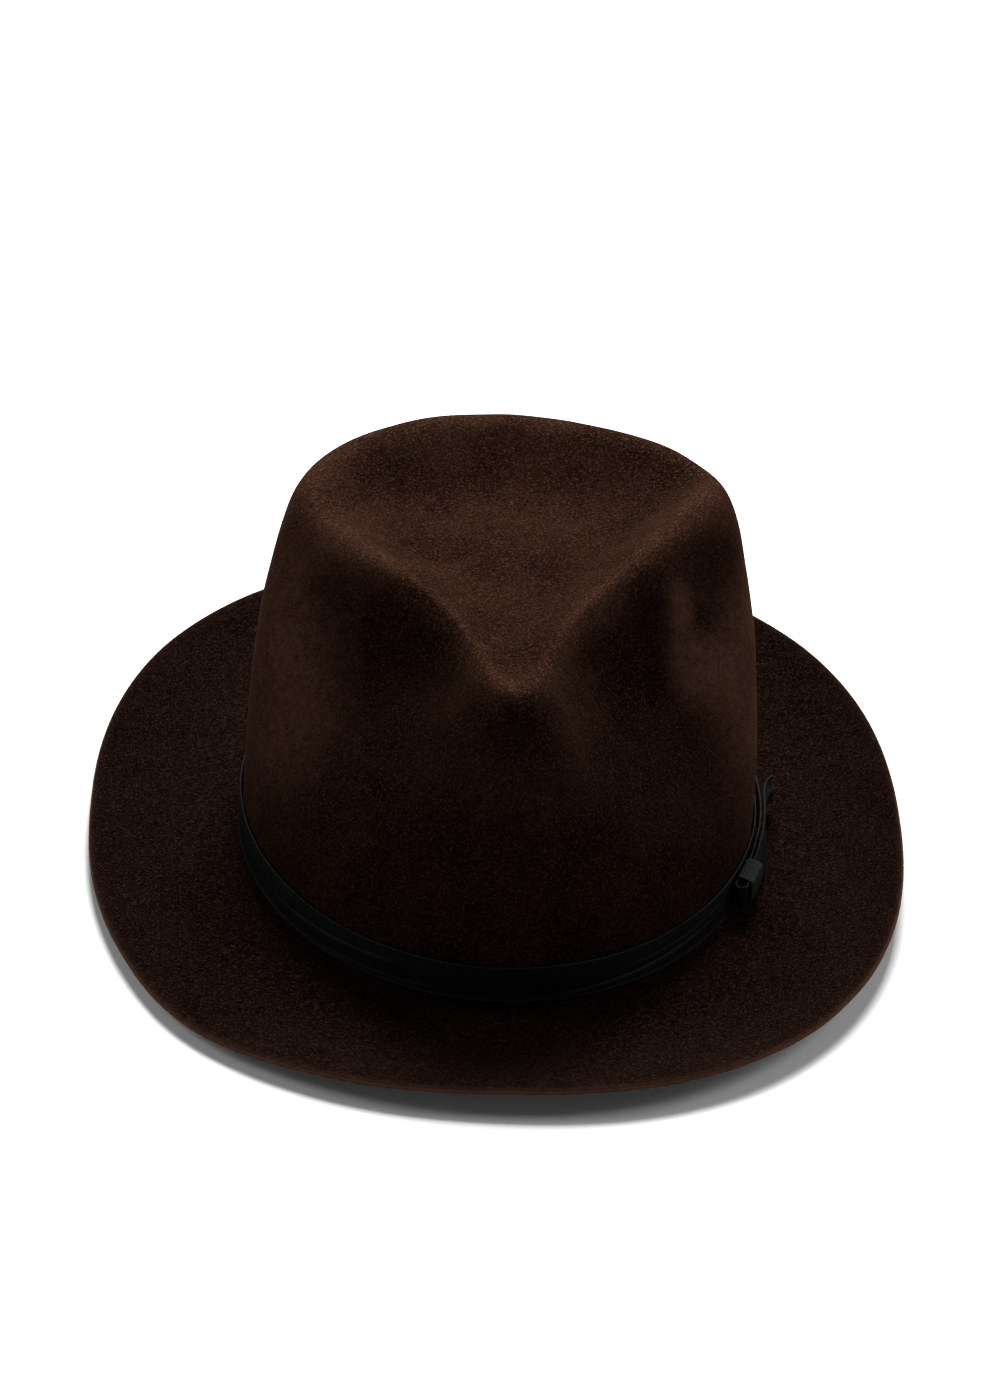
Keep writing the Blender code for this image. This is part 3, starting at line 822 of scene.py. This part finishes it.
def stitches(material):
    """Row of separate lockstitches along the sweatband's lower edge."""
    build = bmesh.new()
    inset = SWEATBAND_IN + SWEATBAND + GAP + THREAD_RADIUS
    for number in range(STITCHES):
        angle = TURN * (number + 0.5) / STITCHES
        middle = inner_point(angle, STITCH_Z, inset)
        side = inner_point(angle + 0.01, STITCH_Z, inset) - middle
        turned = Vector((0, 0, 1)).rotation_difference(Vector(side)).to_matrix().to_4x4()
        shape = Matrix.Translation(middle) @ turned @ Matrix.Diagonal((1, 1, STITCH_STRETCH, 1))
        bmesh.ops.create_uvsphere(build, u_segments=8, v_segments=6, radius=THREAD_RADIUS,
                                  matrix=shape)
    mesh = bpy.data.meshes.new("stitches")
    build.to_mesh(mesh)
    build.free()
    mesh.shade_smooth()
    piece = bpy.data.objects.new("sweatband_stitches", mesh)
    bpy.context.scene.collection.objects.link(piece)
    return finish_piece(piece, material, "brown_thread", "sweatband_stitching")


def rear_bow(material):
    """Flat little bow that marks the back of the sweatband, with a wrapped middle."""
    inset = SWEATBAND_IN + SWEATBAND + 3 * GAP + 2 * THREAD_RADIUS
    columns = []
    for step in np.linspace(-1, 1, 61):
        half = (1.1 + 2.4 * np.sin(np.pi * abs(step)) ** 0.8) * MM
        angle = np.pi + step * np.radians(5)
        puff = 0.3 * MM * np.sin(np.pi * abs(step)) ** 2
        spots = []
        for side in np.linspace(-1, 1, 9):
            height = REAR_BOW_Z + side * half
            spots.append(inner_point(angle, height, inset + puff * (1 - side ** 2)))
        columns.append(spots)
    piece = ribbon_grid("rear_bow", columns, REAR_BOW_THICK, out=False)
    return finish_piece(piece, material, "sweatband_leather", "sweatband_rear_bow")


def lining_inset(height):
    share = max(height - LINING_STRAIGHT, 0) / (LINING_Z[1] - LINING_STRAIGHT)
    return 2.7 * MM + 4.5 * MM * share ** 1.2


def lining(material):
    """Satin wall with soft upright gathers, and an oval tip that rises a little in the middle."""
    angles = np.linspace(0, TURN, 480, endpoint=False)
    heights = np.linspace(*LINING_Z, 40)
    columns = []
    for angle in angles:
        spots = []
        for height in heights:
            free = np.clip((height - LINING_STRAIGHT) / (25 * MM), 0, 1)
            gather = 0.55 * MM * free * (1 + np.sin(GATHERS * angle + 2.0 * np.sin(5 * angle)))
            spots.append(inner_point(angle, height, lining_inset(height) + gather))
        columns.append(spots)
    wall = ribbon_grid("lining_side", columns, SATIN_THICK, closed=True, out=False)
    finish_piece(wall, material, "lining_satin", "lining_wall")

    top = LINING_Z[1] + 0.6 * MM
    rim = np.array([inner_point(angle, top, lining_inset(LINING_Z[1])) for angle in angles])
    middle = np.array([0, 10 * MM, top])
    shares = np.linspace(0, 1, 30)
    tip = np.stack([rim + (middle - rim) * share for share in shares[:-1]], axis=1)
    for number, share in enumerate(shares[:-1]):
        pucker = 0.25 * np.sin(GATHERS * angles) * np.exp(-share / 0.12)
        tip[:, number, 2] = top + (2.0 * (1 - (1 - share) ** 2) + pucker + 0.2) * MM
    columns, rows = tip.shape[:2]
    faces = grid_faces(columns, rows, True)
    centre = columns * rows
    for i in range(columns):
        faces.append((i * rows + rows - 1, (i + 1) % columns * rows + rows - 1, centre))
    points = [*tip.reshape(-1, 3), middle + [0, 0, 2.2 * MM]]
    piece = make_object("lining_top", points, faces)
    store(piece, "cloth_place", [[point[0], point[1], 0] for point in points])
    thicken(piece, SATIN_THICK)
    finish_piece(piece, material, "lining_satin", "lining_tip")


def tapes(material):
    """Cotton behind the sweatband: tape along its lower edge and back seam, and the size tag."""
    ring = np.linspace(0, TURN, 300, endpoint=False)
    back = np.radians(np.linspace(177, 183, 15))
    label = np.radians(np.linspace(205, 215, 21))
    chosen = (
        ("edge_tape", ring, (2.6, 8.5), "reed_tape"),
        ("seam_tape", back, (10, 26), "sweatband_seam_tape"),
        ("size_label", label, (11, 20), "size_tag"),
    )
    for name, angles, ends, node in chosen:
        columns = []
        for angle in angles:
            spots = []
            for height in np.linspace(*ends, 9) * MM:
                wave = 0.08 * MM * np.sin(31 * angle + height * 400)
                spots.append(inner_point(angle, height, SWEATBAND_IN - GAP - 0.1 * MM + wave))
            columns.append(spots)
        piece = ribbon_grid(name, columns, TAPE_THICK, closed=name == "edge_tape")
        finish_piece(piece, material, "cotton_tape", node)


def tack(name, point, angle, height, out, material):
    """Short upright stitch of two twisted strands, whose ends dive into the cloth."""
    side = point(angle + 0.004, height, out) - point(angle - 0.004, height, out)
    side /= np.linalg.norm(side)
    away = point(angle, height, out + MM) - point(angle, height, out)
    away /= np.linalg.norm(away)
    points, faces, around_strand = [], [], 8
    for first in (0, np.pi):
        start = len(points)
        steps = np.linspace(-1, 1, 31)
        for step in steps:
            dive = max(abs(step) - 0.7, 0) / 0.3
            turned = first + step * 3 * np.pi
            middle = point(angle, height + TACK_HALF * step, out - 0.3 * MM * dive ** 2)
            middle = middle + (side * np.cos(turned) + away * np.sin(turned)) * STRAND_OFF
            for spoke in np.linspace(0, TURN, around_strand, endpoint=False):
                rim = side * np.cos(spoke) + away * np.sin(spoke)
                points.append(middle + rim * STRAND_RADIUS)
        for row in range(len(steps) - 1):
            for spoke in range(around_strand):
                here = start + row * around_strand
                following = (spoke + 1) % around_strand
                faces.append((here + spoke, here + following, here + around_strand + following,
                              here + around_strand + spoke))
        last = start + (len(steps) - 1) * around_strand
        faces.append(tuple(start + spoke for spoke in reversed(range(around_strand))))
        faces.append(tuple(last + spoke for spoke in range(around_strand)))
    piece = make_object(f"{name}_thread", points, faces)
    return finish_piece(piece, material, "black_thread", name)


def tacks(material):
    for number, degrees in enumerate((0, 150, 210, 300), start=1):
        tack(f"hatband_tack_{number}", wall_point, np.radians(degrees), BAND_Z[1] - 2.5 * MM,
             BAND_FACE + 0.3 * MM, material)
    tack("bow_tack", bow_point, np.radians(91), BOW_Z[1] - 3 * MM, TAIL_INNER + 1.5 * MM, material)


def carried_over():
    """The reed in the sweatband's edge keeps its CAD shape, a plain round cord."""
    reed = cord_material("reed_cord", (0.46, 0.39, 0.27))
    for slot in bpy.data.objects["sweatband_reed"].material_slots:
        slot.material = reed


# ================================================================ scene
FLOOR_HALF = 6.0
SCREEN_SPOKES, SCREEN_RADIUS, SCREEN_HEIGHT = 64, 5.5, 1.4


def floor():
    corners = [(x * FLOOR_HALF, y * FLOOR_HALF, 0) for x, y in ((-1, -1), (1, -1), (1, 1), (-1, 1))]
    piece = make_object("floor", corners, [(0, 1, 2, 3)])
    paper = Nodes("white_floor")
    paper.set(Base_Color=(0.92, 0.92, 0.92, 1), Roughness=0.9, Specular_IOR_Level=0.1)
    piece.data.materials.append(paper.material)


def screen():
    """A pale screen all round, low enough to add little light from above."""
    turns = np.linspace(0, TURN, SCREEN_SPOKES, endpoint=False)
    points = [(SCREEN_RADIUS * np.cos(turn), SCREEN_RADIUS * np.sin(turn), height)
              for turn in turns for height in (0, SCREEN_HEIGHT)]
    piece = make_object("screen", points, grid_faces(SCREEN_SPOKES, 2, True))
    glow = Nodes("pale_screen")
    glow.set(Base_Color=(0.5, 0.5, 0.5, 1), Roughness=1.0, Specular_IOR_Level=0.0,
             Emission_Color=(1, 1, 1, 1), Emission_Strength=0.42)
    piece.data.materials.append(glow.material)


def lamp(name, place, aim, size, power):
    data = bpy.data.lights.new(name, "AREA")
    data.shape = "RECTANGLE"
    data.size, data.size_y = size
    data.energy = power
    light = bpy.data.objects.new(name, data)
    light.location = place
    light.rotation_euler = (Vector(aim) - Vector(place)).to_track_quat("-Z", "Y").to_euler()
    bpy.context.scene.collection.objects.link(light)


def lights():
    """Soft light from behind and above, weaker from both sides, and a little from the front."""
    lamp("key", (0.08, 1.08, 1.28), (0, 0, 0), (0.8, 0.55), 58)
    lamp("front_fill", (0.0, -1.6, 0.35), (0, 0, 0.06), (1.2, 0.3), 1.1)
    lamp("left_side", (-1.4, 0.35, 0.8), (0, 0, 0.08), (0.7, 1.0), 8)
    lamp("right_side", (1.4, 0.4, 0.8), (0, 0, 0.08), (0.7, 1.0), 11)
    world = bpy.data.worlds.new("studio")
    world.use_nodes = True
    background = world.node_tree.nodes["Background"]
    background.inputs["Color"].default_value = (1, 1, 1, 1)
    background.inputs["Strength"].default_value = 0.03
    bpy.context.scene.world = world


def camera():
    """Looks down on the front of the hat, a touch from its right, rolled slightly."""
    distance, height, aside, roll = 1.5, np.radians(32.5), np.radians(-3.0), np.radians(3.6)
    back = Vector((np.sin(aside) * np.cos(height), -np.cos(aside) * np.cos(height), np.sin(height)))
    right = Vector((np.cos(aside), np.sin(aside), 0))
    up = back.cross(right)
    aim = Vector((0, 0, 50 * MM))
    place = aim + back * distance
    turned_right = right * np.cos(roll) + up * np.sin(roll)
    turned_up = up * np.cos(roll) - right * np.sin(roll)
    data = bpy.data.cameras.new("camera")
    data.sensor_width = 36.0
    data.lens = 112.8
    data.clip_start, data.clip_end = 0.05, 30.0
    data.shift_x = -0.002
    data.shift_y = 0.006
    seen = bpy.data.objects.new("camera", data)
    turn = Matrix((turned_right, turned_up, back)).transposed().to_4x4()
    seen.matrix_world = Matrix.Translation(place) @ turn
    bpy.context.scene.collection.objects.link(seen)
    bpy.context.scene.camera = seen
    bpy.context.scene.view_settings.view_transform = "Standard"


camera()
floor()
screen()
lights()
felt()
grosgrain = ribbon_material()
hatband(grosgrain)
bow_ribbon(grosgrain)
bow_knot(grosgrain)
leather = leather_material()
sweatband(leather)
stitches(thread_material("brown_thread", (0.16, 0.08, 0.04)))
rear_bow(leather)
lining(satin_material())
tapes(tape_material("cream_tape", (0.50, 0.43, 0.31)))
tacks(thread_material("black_thread", (0.004, 0.0045, 0.005)))
carried_over()
